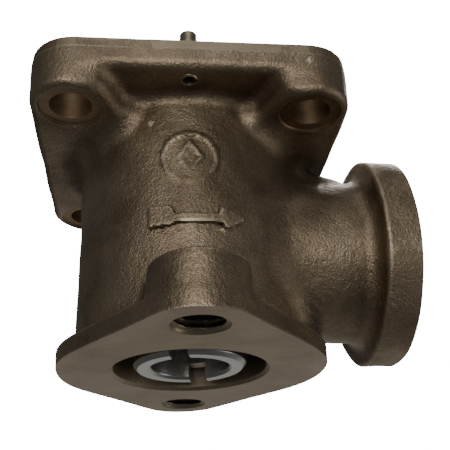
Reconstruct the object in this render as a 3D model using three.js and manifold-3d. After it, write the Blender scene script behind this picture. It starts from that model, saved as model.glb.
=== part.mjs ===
// Bimetal steam trap: a cast body with a square top flange, a side outlet and an oval lower flange,
// and the valve unit that it holds. Millimetres, +Z up, standing on the lower flange, outlet to +X.
import * as THREE from 'three';
import { mergeVertices } from 'three/addons/utils/BufferGeometryUtils.js';
import Module from 'manifold-3d';

const wasm = await Module();
wasm.setup();

// Fits, and how round a round thing is.
const runFit = 0.1;          // radial clearance of a screwed or sliding fit
const pinFit = 0.05;         // radial clearance of the locating pin in its hole
const valveGap = 0.05;       // what is left between ball and seat when the valve is shut
const weld = 1e-4;           // vertices closer than this are one vertex
const through = 1;           // how far a cutter runs past the face it cuts
const fine = 48;             // sides of a large circle
const medium = 32;           // sides of a middling circle
const coarse = 20;           // sides of a small circle

// Top flange: square and thick along its left and right sides, with a thinner lip over a pocket
// at the front and at the rear, and a spotface at each bolt.
const flangeHalf = 38.4;
const flangeCorner = 11;
const lipThick = 7.5;
const bodyHeight = 68.5;
const boltSpacing = 57.15;
const boltHoleR = 5;
const spotfaceR = 7.6;
const spotfaceDepth = 0.6;   // cut into the cast underside
const boltGrip = 12.5;       // flange thickness at a spotface
const boltBossR = 11;        // thick metal left round each bolt, beside the pockets
const pocketTaper = 4.6;     // how much narrower each side of a pocket gets behind the bosses
const coveR = 5;             // cove between the flange's underside and the barrel

// Body barrel and its two chambers.
const bodyR = 27.45;
const lowerBoreR = 18.4;
const lowerMouthChamfer = 0.8;
const dividerBottom = 43;
const dividerThick = 4;
const upperBoreR = 20;

// Lower flange: a round plate with two bolt bosses, front and rear.
const plateR = 32.1;
const plateOffset = 0.6;     // the plate's outline stands this far towards the outlet
const plateThick = 4.5;
const lowerBoltY = 35.05;
const lowerHoleR = 5.65;
const lowerHoleChamfer = 0.5;
const lowerBossR = 11;
const lowerBossTopR = 10.5;
const lowerBossHeight = 12.3;

// Side outlet, on an axis along +X.
const portZ = 28.2;
const portEnd = 52.3;
const bandR = 26.6;
const bandWidth = 8.2;
const bandRound = 0.5;
const neckR = 20.6;
const neckFillet = 3.2;
const neckWebHalf = 8;       // half the width of the web between the neck and the top flange
const neckWebEnd = 3.8;      // from the web's outer end to the band
const portThreadR = 16.2;
const portThreadDepth = 19;
const portBoreR = 12.5;

// Locating pin: a spring pin in the front of the top flange.
const pinR = 2.1;
const pinWall = 0.5;
const pinEdge = 4.8;         // from the flange's front face to the pin's axis
const pinOffset = -1;        // to the left of the middle
const pinAbove = 5.6;
const pinBelow = 0.6;
const pinSlot = 0.8;
const pinChamfer = 0.3;

// Sleeve: screwed into the divider from below, its slotted end flush with the mouth of the bore.
const sleeveR = 13.6;
const sleeveWall = 4.25;
const sleeveBoreR = sleeveR - sleeveWall;
const sleeveRecess = 0.6;
const sleeveOuterChamfer = 1;
const sleeveInnerChamfer = 0.7;
const sleeveStep = 1.8;       // from the sleeve's outside in to its thread
const sleeveThreadR = sleeveR - sleeveStep;
const sleeveTopStand = 1;    // above the divider
const slotWidth = 4.3;
const slotDepth = 4;
const slotTurn = -14.7;      // degrees from the Y axis
const windowWidth = 9;
const windowHeight = 18;
const windowCount = 4;
const gasketThick = 0.8;

// Valve seat, inside the top of the sleeve.
const seatPocketR = 8;
const seatPocketDepth = 5;
const seatLedge = 2;
const seatLedgeR = 6.5;
const seatGasketThick = 0.4;
const throatR = 3;
const seatSlotWidth = 3;
const seatSlotDepth = 2;

// Moving valve.
const valveLift = 2.2;
const ballR = 4.2;
const stemR = 1.5;
const stemHeadR = 2.3;
const stemHeadThick = 0.9;
const ballFlat = 3.6;        // from the ball's middle to the flat that the stem's head bears on
const stemEnd = 1.2;         // thread left above the lock nut
const stemSlotWidth = 0.6;
const stemSlotDepth = 0.8;

// Bimetal stack.
const discCount = 8;
const discR = 8.5;
const discThick = 0.8;
const discHoleR = 1.75;
const baseWasherThick = 0.8;
const thrustWasherR = 5.6;
const thrustWasherThick = 1;
const adjustNutFlats = 8;
const adjustNutThick = 2.4;
const lockNutFlats = 7;
const lockNutThick = 1.8;

// Strainer over the stack, and the ring that holds its rim down.
const screenR = 15.5;
const screenWall = 0.6;
const screenRimR = 19.4;
const screenRimThick = 1;
const screenClear = 0.9;     // above the stem when the valve is shut
const ringInnerR = 17.2;
const ringThick = 1.4;
const ringGroove = 1.2;      // how deep the ring sits in the chamber's wall
const ringSlack = 0.25;      // end play and clearance of the ring in its groove
const ringGap = 7;

// Places worked out from the sizes above.
const originX = (portEnd - flangeHalf) / 2;
const lipBottom = bodyHeight - lipThick;
const spotfaceZ = bodyHeight - boltGrip;
const flangeBottom = spotfaceZ - spotfaceDepth;
const boltHalf = boltSpacing / 2;
const dividerTop = dividerBottom + dividerThick;
const sleeveShoulder = dividerBottom - gasketThick;
const sleeveTop = dividerTop + sleeveTopStand;
const seatPocketBottom = sleeveTop - seatPocketDepth;
const seatBottom = seatPocketBottom + seatGasketThick;
const ballShut = seatBottom - Math.sqrt(ballR ** 2 - throatR ** 2) - valveGap;
const ballOpen = ballShut - valveLift;
const stackBottom = sleeveTop + baseWasherThick;
const stackTop = stackBottom + discCount * discThick;
const adjustNutBottom = stackTop + thrustWasherThick;
const lockNutBottom = adjustNutBottom + adjustNutThick;
const stemTop = lockNutBottom + lockNutThick + stemEnd;
const screenInnerTop = stemTop + valveLift + screenClear;
const ringBottom = dividerTop + screenRimThick;
const pinY = -(flangeHalf - pinEdge);
const corners = [[-1, -1], [1, -1], [1, 1], [-1, 1]];

// ---- solids ----------------------------------------------------------------------------------

function solidOf(geometry) {
  const bare = geometry.clone();
  bare.deleteAttribute('normal');
  bare.deleteAttribute('uv');
  const merged = mergeVertices(bare, weld);
  const index = merged.index.array;
  const triangles = [];
  for (let i = 0; i < index.length; i += 3) {
    const [a, b, c] = [index[i], index[i + 1], index[i + 2]];
    if (a !== b && b !== c && c !== a) triangles.push(a, b, c);
  }
  const build = (order) => new wasm.Manifold(new wasm.Mesh({
    numProp: 3,
    vertProperties: new Float32Array(merged.attributes.position.array),
    triVerts: new Uint32Array(order),
  }));
  const solid = build(triangles);
  return solid.volume() > 0 ? solid : build(triangles.reverse());
}

function geometryOf(solid) {
  const mesh = solid.getMesh();
  const geometry = new THREE.BufferGeometry();
  geometry.setAttribute('position', new THREE.BufferAttribute(mesh.vertProperties, 3));
  geometry.setIndex(new THREE.BufferAttribute(mesh.triVerts, 1));
  geometry.computeVertexNormals();
  return geometry;
}

// Turned shape about the Z axis from [radius, height] pairs; closes on itself where it is a ring.
function turned(profile, sides) {
  const points = profile.map(([r, z]) => new THREE.Vector2(r, z));
  const onAxis = profile[0][0] === 0 && profile[profile.length - 1][0] === 0;
  if (!onAxis) points.push(points[0].clone());
  return solidOf(new THREE.LatheGeometry(points, sides).rotateX(Math.PI / 2));
}

function rod(r, bottom, top, sides) {
  return turned([[0, bottom], [r, bottom], [r, top], [0, top]], sides);
}

function pipe(inner, outer, bottom, top, sides) {
  return turned([[inner, bottom], [outer, bottom], [outer, top], [inner, top]], sides);
}

function block(x0, x1, y0, y1, z0, z1) {
  const box = new THREE.BoxGeometry(x1 - x0, y1 - y0, z1 - z0);
  return solidOf(box.translate((x0 + x1) / 2, (y0 + y1) / 2, (z0 + z1) / 2));
}

function plate(shape, bottom, top, curveSegments) {
  const options = { depth: top - bottom, bevelEnabled: false, curveSegments };
  return solidOf(new THREE.ExtrudeGeometry(shape, options).translate(0, 0, bottom));
}

// ---- body ------------------------------------------------------------------------------------

function roundedSquare(half, corner) {
  const shape = new THREE.Shape();
  const c = half - corner;
  shape.absarc(c, c, corner, 0, Math.PI / 2);
  shape.absarc(-c, c, corner, Math.PI / 2, Math.PI);
  shape.absarc(-c, -c, corner, Math.PI, 1.5 * Math.PI);
  shape.absarc(c, -c, corner, 1.5 * Math.PI, 2 * Math.PI);
  return shape;
}

// A round plate, a little off centre, with a smaller round end front and rear on straight tangents.
function lowerPlateShape() {
  const reach = Math.hypot(plateOffset, lowerBoltY);
  const toward = Math.atan2(lowerBoltY, -plateOffset);
  const spread = Math.acos((plateR - lowerBossR) / reach);
  const [right, left] = [toward - spread, toward + spread];
  const shape = new THREE.Shape();
  shape.absarc(plateOffset, 0, plateR, -right, right);
  shape.absarc(0, lowerBoltY, lowerBossR, right, left);
  shape.absarc(plateOffset, 0, plateR, left, 2 * Math.PI - left);
  shape.absarc(0, -lowerBoltY, lowerBossR, 2 * Math.PI - left, 2 * Math.PI - right);
  return shape;
}

function topFlange() {
  const flange = plate(roundedSquare(flangeHalf, flangeCorner), flangeBottom, bodyHeight, 6);
  const bevel = turned([[0, flangeBottom - coveR], [bodyR, flangeBottom - coveR],
    [bodyR + coveR * 0.3, flangeBottom - coveR * 0.3], [bodyR + coveR, flangeBottom],
    [bodyR + coveR, flangeBottom + through], [0, flangeBottom + through]], fine);
  return [-1, 1].reduce((left, side) => left.subtract(pocket(side)), flange.add(bevel));
}

// Space under the lip, at the front (side -1) or the rear (side 1), between the bolt bosses and
// outside the barrel.
function pocket(side) {
  const bottom = flangeBottom - coveR - through;
  const mouth = flangeHalf + through;
  const turn = Math.asin(Math.min(1, (flangeHalf - boltHalf) / boltBossR));
  const [wide, deep] = [boltHalf - boltBossR - pocketTaper, boltHalf - pocketTaper];
  const mouthHalf = boltHalf - boltBossR * Math.cos(turn);
  const shape = new THREE.Shape();
  shape.moveTo(wide, deep);
  shape.absarc(boltHalf, boltHalf, boltBossR, Math.PI, Math.PI - turn, true);
  shape.lineTo(mouthHalf, mouth);
  shape.lineTo(-mouthHalf, mouth);
  shape.absarc(-boltHalf, boltHalf, boltBossR, turn, 0, true);
  shape.lineTo(-wide, deep);
  shape.closePath();
  const space = plate(shape, bottom, lipBottom, 8).rotate([0, 0, side > 0 ? 0 : 180]);
  return space.subtract(rod(bodyR, bottom - through, lipBottom + through, fine));
}

function lowerFlange() {
  const bosses = [-1, 1].map((side) => {
    const round = turned([[0, 0], [lowerBossR, 0], [lowerBossTopR, lowerBossHeight],
      [0, lowerBossHeight]], medium).translate([0, side * lowerBoltY, 0]);
    const [near, far] = [side * bodyR * 0.7, side * lowerBoltY].sort((a, b) => a - b);
    return round.add(block(-lowerBossTopR, lowerBossTopR, near, far, 0, lowerBossHeight));
  });
  return bosses.reduce((all, each) => all.add(each), plate(lowerPlateShape(), 0, plateThick, 16));
}

function sidePort() {
  const bandStart = portEnd - bandWidth;
  return turned([[0, 0], [neckR, 0], [neckR, bandStart - neckFillet],
    [neckR + neckFillet * 0.3, bandStart - neckFillet * 0.3], [neckR + neckFillet, bandStart],
    [bandR - bandRound, bandStart], [bandR, bandStart + bandRound], [bandR, portEnd - bandRound],
    [bandR - bandRound, portEnd], [0, portEnd]], fine)
    .rotate([0, 90, 0]).translate([0, 0, portZ]).add(neckWeb(bandStart - neckWebEnd));
}

// Web over the neck, its top sloping up from the neck's end to the flange.
function neckWeb(end) {
  const crown = portZ + neckR;
  const shape = new THREE.Shape([
    new THREE.Vector2(0, portZ), new THREE.Vector2(end, portZ), new THREE.Vector2(end, crown + 1),
    new THREE.Vector2(bodyR + coveR, flangeBottom), new THREE.Vector2(bodyR, flangeBottom + through),
    new THREE.Vector2(0, flangeBottom + through),
  ]);
  const geometry = new THREE.ExtrudeGeometry(shape, { depth: 2 * neckWebHalf, bevelEnabled: false });
  return solidOf(geometry.translate(0, 0, -neckWebHalf).rotateX(Math.PI / 2));
}

function bodyCuts() {
  const lower = turned([[0, -through], [lowerBoreR + lowerMouthChamfer + through, -through],
    [lowerBoreR, lowerMouthChamfer], [lowerBoreR, dividerBottom], [0, dividerBottom]], fine);
  const divider = rod(sleeveThreadR + runFit, dividerBottom - through, dividerTop + through, medium);
  const upper = rod(upperBoreR, dividerTop, bodyHeight + through, fine);
  const groove = rod(upperBoreR + ringGroove, ringBottom, ringBottom + ringThick + ringSlack, fine);
  const thread = rod(portThreadR, portEnd - portThreadDepth, portEnd + through, medium);
  const port = rod(portBoreR, 0, portEnd, medium).add(thread).rotate([0, 90, 0])
    .translate([0, 0, portZ]);
  const boltHole = rod(boltHoleR, flangeBottom - through, bodyHeight + through, coarse);
  const spotface = rod(spotfaceR, spotfaceZ - boltGrip, spotfaceZ, medium);
  const bolts = corners.map(([sx, sy]) => boltHole.add(spotface)
    .translate([sx * boltHalf, sy * boltHalf, 0]));
  const mouth = lowerHoleR + lowerHoleChamfer;
  const tapped = turned([[0, -through], [mouth + through, -through], [lowerHoleR, lowerHoleChamfer],
    [lowerHoleR, lowerBossHeight + through], [0, lowerBossHeight + through]], coarse);
  const lowerBolts = [-1, 1].map((side) => tapped.translate([0, side * lowerBoltY, 0]));
  const pinHole = rod(pinR + pinFit, lipBottom - through, bodyHeight + through, coarse)
    .translate([pinOffset, pinY, 0]);
  return [lower, divider, upper, groove, port, ...bolts, ...lowerBolts, pinHole];
}

function body() {
  const cast = [topFlange(), lowerFlange(), sidePort()]
    .reduce((all, each) => all.add(each), rod(bodyR, 0, bodyHeight, fine));
  return bodyCuts().reduce((left, cut) => left.subtract(cut), cast);
}

// ---- fixed pieces ----------------------------------------------------------------------------

function locatingPin() {
  const [bottom, top] = [lipBottom - pinBelow, bodyHeight + pinAbove];
  const tube = turned([[pinR - pinWall, bottom], [pinR - pinChamfer, bottom],
    [pinR, bottom + pinChamfer], [pinR, top - pinChamfer], [pinR - pinChamfer, top],
    [pinR - pinWall, top]], coarse);
  const slot = block(0, pinR + through, -pinSlot / 2, pinSlot / 2, bottom - through, top + through);
  return tube.subtract(slot).translate([pinOffset, pinY, 0]);
}

function sleeve() {
  const wall = turned([[sleeveBoreR + sleeveInnerChamfer, sleeveRecess],
    [sleeveR - sleeveOuterChamfer, sleeveRecess], [sleeveR, sleeveRecess + sleeveOuterChamfer],
    [sleeveR, sleeveShoulder], [sleeveThreadR, sleeveShoulder], [sleeveThreadR, sleeveTop],
    [seatPocketR, sleeveTop], [seatPocketR, seatPocketBottom], [seatLedgeR, seatPocketBottom],
    [seatLedgeR, seatPocketBottom - seatLedge], [sleeveBoreR, seatPocketBottom - seatLedge],
    [sleeveBoreR, sleeveRecess + sleeveInnerChamfer]], fine);
  const slot = block(-slotWidth / 2, slotWidth / 2, -sleeveR - through, sleeveR + through,
    sleeveRecess - through, sleeveRecess + slotDepth).rotate([0, 0, slotTurn]);
  let left = wall.subtract(slot);
  for (let i = 0; i < windowCount; i += 1) {
    const window = block(0, sleeveR + through, -windowWidth / 2, windowWidth / 2,
      portZ - windowHeight / 2, portZ + windowHeight / 2);
    left = left.subtract(window.rotate([0, 0, (i * 360) / windowCount]));
  }
  return left;
}

function sleeveGasket() {
  return pipe(sleeveThreadR + runFit, sleeveR, sleeveShoulder, dividerBottom, fine);
}

function seatGasket() {
  return pipe(seatLedgeR, seatPocketR - runFit, seatPocketBottom, seatBottom, medium);
}

function valveSeat() {
  const bush = pipe(throatR, seatPocketR - runFit, seatBottom, sleeveTop, medium);
  const half = seatPocketR + through;
  const slotFloor = sleeveTop - seatSlotDepth;
  const slot = block(-half, half, -seatSlotWidth / 2, seatSlotWidth / 2, slotFloor, sleeveTop + through);
  return bush.subtract(slot).subtract(slot.rotate([0, 0, 90]));
}

function strainerScreen() {
  const [foot, top] = [dividerTop, screenInnerTop + screenWall];
  return turned([[screenR - screenWall, foot], [screenRimR, foot], [screenRimR, foot + screenRimThick],
    [screenR, foot + screenRimThick], [screenR, top], [0, top], [0, screenInnerTop],
    [screenR - screenWall, screenInnerTop]], fine);
}

function retainingRing() {
  const outer = upperBoreR + ringGroove - ringSlack;
  const ring = pipe(ringInnerR, outer, ringBottom, ringBottom + ringThick, fine);
  return ring.subtract(block(-ringGap / 2, ringGap / 2, -outer - through, 0,
    ringBottom - through, ringBottom + ringThick + through));
}

// ---- moving pieces ---------------------------------------------------------------------------

function valveStem() {
  const headTop = ballOpen - ballFlat;
  const stem = turned([[0, headTop - stemHeadThick], [stemHeadR, headTop - stemHeadThick],
    [stemHeadR, headTop], [stemR, headTop], [stemR, stemTop], [0, stemTop]], coarse);
  const half = stemSlotWidth / 2;
  return stem.subtract(block(-stemR - through, stemR + through, -half, half,
    stemTop - stemSlotDepth, stemTop + through));
}

function valveBall() {
  const ball = solidOf(new THREE.SphereGeometry(ballR, medium, 16).rotateX(Math.PI / 2)
    .translate(0, 0, ballOpen));
  const trim = rod(ballR + through, ballOpen - ballR - through, ballOpen - ballFlat, medium);
  const hole = rod(stemR + pinFit, ballOpen - ballR - through, ballOpen + ballR + through, coarse);
  return ball.subtract(trim).subtract(hole);
}

function bimetalDisc(number) {
  const bottom = stackBottom + (number - 1) * discThick;
  return pipe(discHoleR, discR, bottom, bottom + discThick, medium);
}

function hexNut(flats, bottom, top) {
  const shape = new THREE.Shape();
  for (let i = 0; i < 6; i += 1) {
    const angle = (i * Math.PI) / 3;
    const radius = flats / Math.sqrt(3);
    const [x, y] = [radius * Math.cos(angle), radius * Math.sin(angle)];
    if (i === 0) shape.moveTo(x, y);
    else shape.lineTo(x, y);
  }
  shape.closePath();
  return plate(shape, bottom, top, 1)
    .subtract(rod(stemR + pinFit, bottom - through, top + through, coarse));
}

// ---- assembly --------------------------------------------------------------------------------

const bronze = { color: 0x7d6b54, roughness: 0.62, metalness: 0.85 };
const stainless = { color: 0xa8a49c, roughness: 0.32, metalness: 1 };
const hardened = { color: 0x8d8b88, roughness: 0.25, metalness: 1 };
const springSteel = { color: 0x8a7f66, roughness: 0.4, metalness: 1 };
const bimetal = { color: 0x9c9486, roughness: 0.38, metalness: 1 };
const graphite = { color: 0x35363a, roughness: 0.8, metalness: 0 };

const pieces = [
  ['body', body(), bronze],
  ['locating_pin', locatingPin(), springSteel],
  ['sleeve', sleeve(), stainless],
  ['sleeve_gasket', sleeveGasket(), graphite],
  ['seat_gasket', seatGasket(), graphite],
  ['valve_seat', valveSeat(), hardened],
  ['valve_stem', valveStem(), stainless],
  ['valve_ball', valveBall(), hardened],
  ['base_washer', pipe(discHoleR, discR, sleeveTop, stackBottom, medium), stainless],
  ['thrust_washer', pipe(discHoleR, thrustWasherR, stackTop, adjustNutBottom, medium), stainless],
  ['adjusting_nut', hexNut(adjustNutFlats, adjustNutBottom, lockNutBottom), stainless],
  ['lock_nut', hexNut(lockNutFlats, lockNutBottom, lockNutBottom + lockNutThick), stainless],
  ['strainer_screen', strainerScreen(), stainless],
  ['retaining_ring', retainingRing(), springSteel],
];
for (let number = 1; number <= discCount; number += 1) {
  pieces.push([`bimetal_disc_${number}`, bimetalDisc(number), bimetal]);
}

const trap = new THREE.Group();
trap.position.x = -originX;
for (const [name, solid, finish] of pieces) {
  const mesh = new THREE.Mesh(geometryOf(solid), new THREE.MeshStandardMaterial(finish));
  mesh.name = name;
  trap.add(mesh);
}

export default trap;
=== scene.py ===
# Bimetal steam trap: a cast bronze body and the valve unit inside it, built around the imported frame.
# Lengths in the sections are millimetres from the barrel's axis, and become metres as a mesh is made.
import math

import bpy
import numpy as np
from mathutils import Matrix, Vector


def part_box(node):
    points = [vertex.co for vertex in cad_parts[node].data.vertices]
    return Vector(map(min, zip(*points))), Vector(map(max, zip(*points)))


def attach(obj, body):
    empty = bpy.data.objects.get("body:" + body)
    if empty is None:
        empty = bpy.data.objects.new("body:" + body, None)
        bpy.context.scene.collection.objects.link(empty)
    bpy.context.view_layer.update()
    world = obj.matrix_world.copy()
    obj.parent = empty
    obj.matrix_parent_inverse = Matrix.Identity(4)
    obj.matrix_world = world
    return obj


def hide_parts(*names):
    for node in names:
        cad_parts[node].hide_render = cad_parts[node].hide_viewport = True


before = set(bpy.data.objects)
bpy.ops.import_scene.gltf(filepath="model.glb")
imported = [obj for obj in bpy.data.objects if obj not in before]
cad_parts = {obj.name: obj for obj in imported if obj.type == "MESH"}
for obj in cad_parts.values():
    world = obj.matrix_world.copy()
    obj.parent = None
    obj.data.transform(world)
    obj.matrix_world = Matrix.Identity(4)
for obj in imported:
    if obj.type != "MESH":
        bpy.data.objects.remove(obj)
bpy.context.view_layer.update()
scene = bpy.context.scene

# ---- Camera ------------------------------------------------------------------------------------
# Low in front of the trap and a little to its left, looking up at it, so that the lower flange's
# face and the mouth of its bore are in view.
body_low, body_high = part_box("body")
sleeve_low, sleeve_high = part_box("sleeve")
axis_x = (sleeve_low.x + sleeve_high.x) / 2
MM = 0.001


def look(name, place, yaw, pitch, roll, lens):
    """A camera at a place, turned to the right by yaw, up by pitch and about its own axis by roll."""
    ahead = Vector((math.sin(yaw) * math.cos(pitch), math.cos(yaw) * math.cos(pitch), math.sin(pitch)))
    right = ahead.cross(Vector((0, 0, 1))).normalized()
    up = right.cross(ahead)
    side = right * math.cos(roll) + up * math.sin(roll)
    top = up * math.cos(roll) - right * math.sin(roll)
    data = bpy.data.cameras.new(name)
    data.sensor_width = 36
    data.lens = lens
    data.clip_start = 0.005
    camera = bpy.data.objects.new(name, data)
    camera.matrix_world = Matrix.Translation(place) @ Matrix((side, top, -ahead)).transposed().to_4x4()
    scene.collection.objects.link(camera)
    return camera


eye = Vector((axis_x - 10.4 * MM, -167.9 * MM, -44.1 * MM))
scene.camera = look("camera", eye, math.radians(6.94), math.radians(26.27), math.radians(-2.59), 56.8)

# ---- Body --------------------------------------------------------------------------------------
# One sand casting in bronze: square top flange, barrel, side outlet and oval lower flange. The raw
# casting is a distance field joined with fillets; then the faces and bores are machined into it.
half_flange = axis_x - body_low.x
height = body_high.z - body_low.z
FLANGE = {"half": half_flange / MM, "corner": 11, "top": height / MM, "under": 55.4, "edge": 1.8}
LIP = {"under": 61, "round": 2.4}
BOLT_BOSS = {"at": 57.15 / 2, "r": 11, "draft": 0.22}
BARREL_R = 27.45
PLATE = {"r": 32.1, "shift": 0.6, "thick": 4.5, "edge": 0.9}
LOWER_BOSS = {"y": 35.05, "foot_r": 11, "top_r": 10.5, "top": 12.3}
OUTLET = {"z": 28.2, "end": (body_high.x - axis_x) / MM, "band_r": 26.6, "band": 8.2, "neck_r": 20.6}
STOCK = 1.0        # raw metal left on each face that is machined
STEP = 0.57        # spacing of the grid that the casting's skin is taken from
ARROW = [(-10.2, 25.3), (-5.0, 25.5), (-4.2, 26.1), (6.2, 26.3), (6.6, 24.7), (11.9, 27.9),
         (5.6, 30.4), (5.4, 28.3), (-4.2, 28.2), (-5.0, 30.2), (-10.2, 30.6)]
MARK = {"around": -0.8, "z": 43.5, "r": 6.3}
LUMPS = [((33, -13, 47), 4.0), ((31, -16, 7), 4.0)]


def filleted(a, b, r):
    """Joins two distance fields with a fillet of radius r."""
    return np.maximum(r, np.minimum(a, b)) - np.hypot(np.maximum(r - a, 0), np.maximum(r - b, 0))


def rounded(a, b, r):
    """What two distance fields share, with its outer edge rounded to radius r."""
    return np.minimum(-r, np.maximum(a, b)) + np.hypot(np.maximum(r + a, 0), np.maximum(r + b, 0))


def round_ended(x, y, big, start, small, end):
    """Distance to the outline round two circles: radius big at start, small at end."""
    across, along = end[0] - start[0], end[1] - start[1]
    length = math.hypot(across, along)
    u = np.abs((x - start[0]) * along - (y - start[1]) * across) / length
    v = ((x - start[0]) * across + (y - start[1]) * along) / length
    lean = (big - small) / length
    side = math.sqrt(1 - lean * lean)
    k = side * v - lean * u
    straight = side * u + lean * v - big
    return np.where(k < 0, np.hypot(u, v) - big,
                    np.where(k > side * length, np.hypot(u, v - length) - small, straight))


def ripple(x, y, z):
    """The slight unevenness of a sand mould's walls, in mm."""
    waves = np.random.default_rng(7)
    total = 0
    for _ in range(6):
        way = waves.normal(size=3)
        way = way * 2 * math.pi / (waves.uniform(8, 26) * np.linalg.norm(way))
        total = total + np.sin(way[0] * x + way[1] * y + way[2] * z + waves.uniform(0, 6.28))
    return 0.055 * total


def outline(u, v, corners):
    """Signed distance to a polygon."""
    nearest = np.full(np.shape(u), np.inf)
    outside = np.ones(np.shape(u))
    for (ax, ay), (bx, by) in zip(corners, corners[1:] + corners[:1]):
        ex, ey, wx, wy = bx - ax, by - ay, u - ax, v - ay
        share = np.clip((wx * ex + wy * ey) / (ex * ex + ey * ey), 0, 1)
        nearest = np.minimum(nearest, (wx - ex * share) ** 2 + (wy - ey * share) ** 2)
        above, below, left = v >= ay, v < by, ex * wy > ey * wx
        outside = np.where((above & below & left) | (~above & ~below & ~left), -outside, outside)
    return outside * np.sqrt(nearest)


def relief(x, y, z):
    """The flow arrow that stands up from the front of the barrel."""
    around = BARREL_R * np.arctan2(x, -y)
    out = np.hypot(x, y) - BARREL_R
    return rounded(outline(around, z, ARROW), out - 1.15, 0.35)


def mark(x, y, z):
    """A ring with a lozenge in it, barely raised, above the arrow."""
    around = BARREL_R * np.arctan2(x, -y)
    out = np.hypot(x, y) - BARREL_R
    du, dz = around - MARK["around"], z - MARK["z"]
    ring = np.abs(np.hypot(du, dz) - MARK["r"]) - 0.6
    lozenge = np.abs(np.abs(du) + 0.7 * np.abs(dz) - 2.7) - 0.6
    return rounded(np.minimum(ring, lozenge), out - 0.2, 0.1)


def raw_casting(x, y, z):
    """Distance in mm from the surface of the unmachined casting, below zero inside it."""
    corner = FLANGE["half"] - FLANGE["corner"]
    qx, qy = np.abs(x) - corner, np.abs(y) - corner
    square = np.hypot(np.maximum(qx, 0), np.maximum(qy, 0)) + np.minimum(np.maximum(qx, qy), 0)
    square = square - FLANGE["corner"]
    flange = rounded(square, FLANGE["under"] - z, FLANGE["edge"])
    drop = np.clip(LIP["under"] - z, 0, 9)
    bolt = np.hypot(np.abs(x) - BOLT_BOSS["at"], np.abs(y) - BOLT_BOSS["at"])
    side = (np.abs(x) - np.abs(y) + BOLT_BOSS["r"] - drop * BOLT_BOSS["draft"]) / math.sqrt(2)
    wall = rounded(side, BOLT_BOSS["r"] - BOLT_BOSS["draft"] * drop - bolt, 2.5)
    pocket = rounded(wall, z - LIP["under"], LIP["round"])
    flange = rounded(flange, -pocket, LIP["round"])
    radius = np.hypot(x, y)
    barrel = radius - BARREL_R
    sideways = np.clip((np.abs(x) - 10) / 12, 0, 1)
    cast = filleted(barrel, flange, 2.8 + 4.2 * sideways)
    ends = [round_ended(x, y, PLATE["r"], (PLATE["shift"], 0), LOWER_BOSS["foot_r"],
                        (0, side * LOWER_BOSS["y"])) for side in (-1, 1)]
    plate = rounded(np.minimum(*ends), z - PLATE["thick"], PLATE["edge"])
    taper = (LOWER_BOSS["foot_r"] - LOWER_BOSS["top_r"]) * np.clip(z / LOWER_BOSS["top"], 0, 1)
    past = np.maximum(np.abs(y) - LOWER_BOSS["y"], 0)
    boss = np.maximum(np.hypot(x, past) - LOWER_BOSS["foot_r"] + taper, 16 - np.abs(y))
    boss = rounded(boss, z - LOWER_BOSS["top"], 0.9)
    spare = np.clip(-np.minimum(*ends), 0.05, 6.5)
    lower = filleted(filleted(plate, boss, spare), np.maximum(barrel, z - 40), 1.4)
    cast = np.minimum(cast, lower)
    tube = np.hypot(y, z - OUTLET["z"])
    start = OUTLET["end"] - OUTLET["band"]
    neck = np.maximum(tube - OUTLET["neck_r"], -x)
    slope = (x - BARREL_R) * 0.42 + z - FLANGE["under"]
    web = rounded(rounded(np.abs(y) - 7, slope, 3), x - start + 3, 3)
    web = np.maximum(web, np.maximum(OUTLET["z"] - z, -x))
    neck = filleted(neck, web, 5)
    cast = filleted(cast, neck, 4)
    band = rounded(tube - OUTLET["band_r"], start - x, 0.9)
    cast = filleted(cast, band, 3.4)
    cast = cast + ripple(x, y, z)
    for place, size in LUMPS:
        away = ((x - place[0]) ** 2 + (y - place[1]) ** 2 + (z - place[2]) ** 2) / (2 * size ** 2)
        cast = cast - 0.4 * np.exp(-away) * (0.5 + 0.5 * np.sin(2.1 * x + 1.3 * z) * np.sin(1.9 * y))
    near = (np.abs(barrel) < 4) & (y < 0) & (np.abs(z - 37) < 16)
    raised = filleted(cast[near], relief(x[near], y[near], z[near]), 0.35)
    cast[near] = np.minimum(raised, mark(x[near], y[near], z[near]))
    reach = LOWER_BOSS["y"] + LOWER_BOSS["foot_r"]
    cast = np.maximum(cast, np.maximum(-FLANGE["half"] - x, np.abs(y) - reach))
    cast = np.maximum(cast, x - OUTLET["end"] - STOCK)
    return np.maximum(cast, np.maximum(-STOCK - z, z - FLANGE["top"] - STOCK))


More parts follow.
